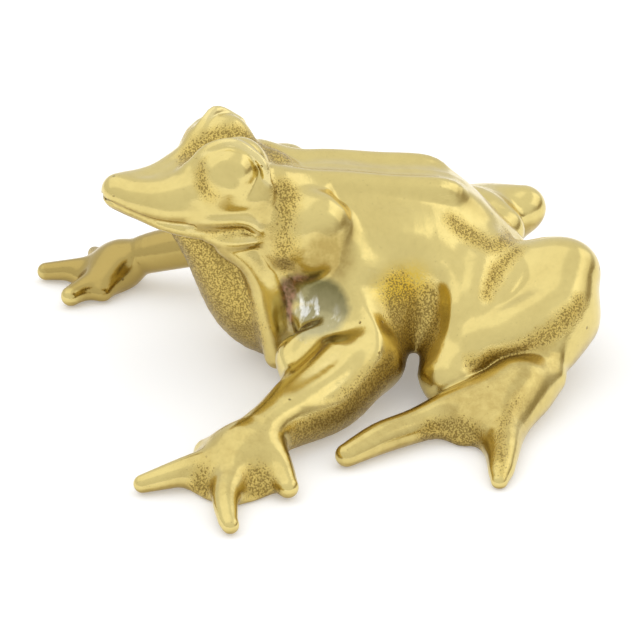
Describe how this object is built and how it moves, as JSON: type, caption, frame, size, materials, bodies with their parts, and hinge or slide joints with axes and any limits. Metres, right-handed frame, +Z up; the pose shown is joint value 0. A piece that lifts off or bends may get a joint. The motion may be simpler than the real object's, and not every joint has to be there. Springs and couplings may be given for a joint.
{
  "type": "frog paperweight",
  "caption": "Crouching frog paperweight in polished cast brass, with spread forelegs, folded hind legs and a felt pad under its belly.",
  "frame": {"origin": "on the table plane, at the middle of the felt pad under the belly", "axes": "+Z up; the frog faces -Y and its left side is +X"},
  "size_m": [0.1353, 0.1039, 0.0505],
  "materials": {
    "cast_brass": "polished on the high parts, as cast and sandy in the hollows",
    "dowel_brass": "drawn rod",
    "felt": "pressed felt"
  },
  "bodies": {
    "root": {"torso_casting": "cast_brass", "head_casting": "cast_brass", "throat_casting": "cast_brass", "left_foreleg": "cast_brass", "right_foreleg": "cast_brass", "left_hind_leg": "cast_brass", "right_hind_leg": "cast_brass", "neck_dowel": "dowel_brass", "throat_dowel": "dowel_brass", "left_shoulder_dowel": "dowel_brass", "right_shoulder_dowel": "dowel_brass", "left_hip_dowel": "dowel_brass", "right_hip_dowel": "dowel_brass", "belly_pad": "felt"}
  },
  "joints": []
}
